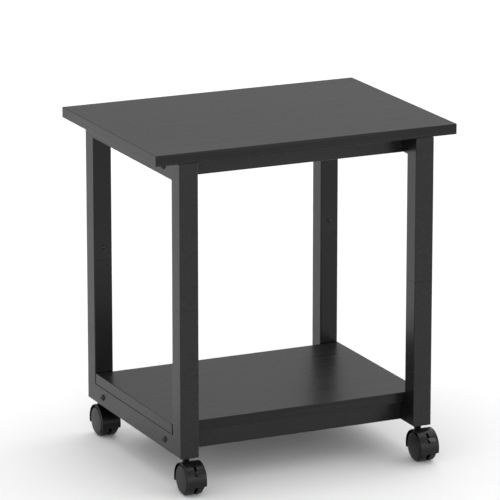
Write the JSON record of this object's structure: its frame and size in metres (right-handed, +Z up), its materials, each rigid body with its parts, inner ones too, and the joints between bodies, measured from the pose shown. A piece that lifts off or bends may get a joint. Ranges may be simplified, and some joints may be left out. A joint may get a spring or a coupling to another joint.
{
  "type": "mobile printer stand",
  "caption": "Low two-tier printer stand: square-tube side frames bolted to long rails, a flat top board and a shelf, on swivelling twin-wheel casters, the front ones with brake levers.",
  "frame": {"origin": "on the floor, at the middle of the stand's outline seen from above", "axes": "+Z up, -Y the front that the brake levers face, +X to the right seen from the front, along the long side of the boards"},
  "size_m": [0.49, 0.382, 0.518],
  "materials": {
    "powder_coat": "black powder coat, satin, with a very fine orange peel",
    "laminate": "black melamine laminate on particle board, low sheen, fine embossed grain",
    "black_oxide": "black oxide steel, low sheen",
    "zinc_steel": "bright zinc plate",
    "insert_plastic": "moulded black nylon, matt",
    "hood_nylon": "moulded black nylon, soft gloss",
    "wheel_nylon": "moulded dark grey nylon, satin, tread rubbed dull",
    "lever_nylon": "moulded black nylon, satin"
  },
  "bodies": {
    "frame": {"left_upper_frame": "powder_coat", "left_lower_frame": "powder_coat", "right_upper_frame": "powder_coat", "right_lower_frame": "powder_coat", "front_top_rail": "powder_coat", "front_bottom_rail": "powder_coat", "rear_top_rail": "powder_coat", "rear_bottom_rail": "powder_coat", "top_board": "laminate", "lower_shelf": "laminate", "front_left_leg_connector": "insert_plastic", "front_left_caster_nut": "zinc_steel", "front_left_joint_screw": "black_oxide", "front_left_caster_stem": "zinc_steel", "front_right_leg_connector": "insert_plastic", "front_right_caster_nut": "zinc_steel", "front_right_joint_screw": "black_oxide", "front_right_caster_stem": "zinc_steel", "rear_left_leg_connector": "insert_plastic", "rear_left_caster_nut": "zinc_steel", "rear_left_joint_screw": "black_oxide", "rear_left_caster_stem": "zinc_steel", "rear_right_leg_connector": "insert_plastic", "rear_right_caster_nut": "zinc_steel", "rear_right_joint_screw": "black_oxide", "rear_right_caster_stem": "zinc_steel", "left_front_top_bolt": "black_oxide", "left_front_bottom_bolt": "black_oxide", "left_rear_top_bolt": "black_oxide", "left_rear_bottom_bolt": "black_oxide", "right_front_top_bolt": "black_oxide", "right_front_bottom_bolt": "black_oxide", "right_rear_top_bolt": "black_oxide", "right_rear_bottom_bolt": "black_oxide", "board_screw_front_left": "zinc_steel", "board_screw_front_right": "zinc_steel", "board_screw_rear_left": "zinc_steel", "board_screw_rear_right": "zinc_steel", "shelf_screw_front_left": "zinc_steel", "shelf_screw_front_right": "zinc_steel", "shelf_screw_rear_left": "zinc_steel", "shelf_screw_rear_right": "zinc_steel"},
    "front_left_swivel": {"front_left_caster_hood": "hood_nylon", "front_left_caster_axle": "zinc_steel"},
    "front_left_left_wheel": {"front_left_caster_wheel_left": "wheel_nylon"},
    "front_left_right_wheel": {"front_left_caster_wheel_right": "wheel_nylon"},
    "front_left_brake": {"front_left_caster_brake_lever": "lever_nylon"},
    "front_right_swivel": {"front_right_caster_hood": "hood_nylon", "front_right_caster_axle": "zinc_steel"},
    "front_right_left_wheel": {"front_right_caster_wheel_left": "wheel_nylon"},
    "front_right_right_wheel": {"front_right_caster_wheel_right": "wheel_nylon"},
    "front_right_brake": {"front_right_caster_brake_lever": "lever_nylon"},
    "rear_left_swivel": {"rear_left_caster_hood": "hood_nylon", "rear_left_caster_axle": "zinc_steel"},
    "rear_left_left_wheel": {"rear_left_caster_wheel_left": "wheel_nylon"},
    "rear_left_right_wheel": {"rear_left_caster_wheel_right": "wheel_nylon"},
    "rear_right_swivel": {"rear_right_caster_hood": "hood_nylon", "rear_right_caster_axle": "zinc_steel"},
    "rear_right_left_wheel": {"rear_right_caster_wheel_left": "wheel_nylon"},
    "rear_right_right_wheel": {"rear_right_caster_wheel_right": "wheel_nylon"}
  },
  "joints": [
    {"name": "front_left_swivel_turn", "type": "hinge", "parent": "frame", "child": "front_left_swivel", "pos_m": [-0.1925, -0.146, 0.05], "axis": [0, 0, 1], "continuous": true},
    {"name": "front_left_left_wheel_roll", "type": "hinge", "parent": "front_left_swivel", "child": "front_left_left_wheel", "pos_m": [-0.2015, -0.1625, 0.024], "axis": [1, 0, 0], "continuous": true},
    {"name": "front_left_right_wheel_roll", "type": "hinge", "parent": "front_left_swivel", "child": "front_left_right_wheel", "pos_m": [-0.1835, -0.1625, 0.024], "axis": [1, 0, 0], "continuous": true},
    {"name": "front_left_brake_press", "type": "hinge", "parent": "front_left_swivel", "child": "front_left_brake", "pos_m": [-0.1925, -0.17972, 0.03315], "axis": [1, 0, 0], "range_deg": [0, 10]},
    {"name": "front_right_swivel_turn", "type": "hinge", "parent": "frame", "child": "front_right_swivel", "pos_m": [0.1925, -0.146, 0.05], "axis": [0, 0, 1], "continuous": true},
    {"name": "front_right_left_wheel_roll", "type": "hinge", "parent": "front_right_swivel", "child": "front_right_left_wheel", "pos_m": [0.1835, -0.1625, 0.024], "axis": [1, 0, 0], "continuous": true},
    {"name": "front_right_right_wheel_roll", "type": "hinge", "parent": "front_right_swivel", "child": "front_right_right_wheel", "pos_m": [0.2015, -0.1625, 0.024], "axis": [1, 0, 0], "continuous": true},
    {"name": "front_right_brake_press", "type": "hinge", "parent": "front_right_swivel", "child": "front_right_brake", "pos_m": [0.1925, -0.17972, 0.03315], "axis": [1, 0, 0], "range_deg": [0, 10]},
    {"name": "rear_left_swivel_turn", "type": "hinge", "parent": "frame", "child": "rear_left_swivel", "pos_m": [-0.1925, 0.176, 0.05], "axis": [0, 0, 1], "continuous": true},
    {"name": "rear_left_left_wheel_roll", "type": "hinge", "parent": "rear_left_swivel", "child": "rear_left_left_wheel", "pos_m": [-0.2015, 0.1595, 0.024], "axis": [1, 0, 0], "continuous": true},
    {"name": "rear_left_right_wheel_roll", "type": "hinge", "parent": "rear_left_swivel", "child": "rear_left_right_wheel", "pos_m": [-0.1835, 0.1595, 0.024], "axis": [1, 0, 0], "continuous": true},
    {"name": "rear_right_swivel_turn", "type": "hinge", "parent": "frame", "child": "rear_right_swivel", "pos_m": [0.1925, 0.176, 0.05], "axis": [0, 0, 1], "continuous": true},
    {"name": "rear_right_left_wheel_roll", "type": "hinge", "parent": "rear_right_swivel", "child": "rear_right_left_wheel", "pos_m": [0.1835, 0.1595, 0.024], "axis": [1, 0, 0], "continuous": true},
    {"name": "rear_right_right_wheel_roll", "type": "hinge", "parent": "rear_right_swivel", "child": "rear_right_right_wheel", "pos_m": [0.2015, 0.1595, 0.024], "axis": [1, 0, 0], "continuous": true}
  ]
}
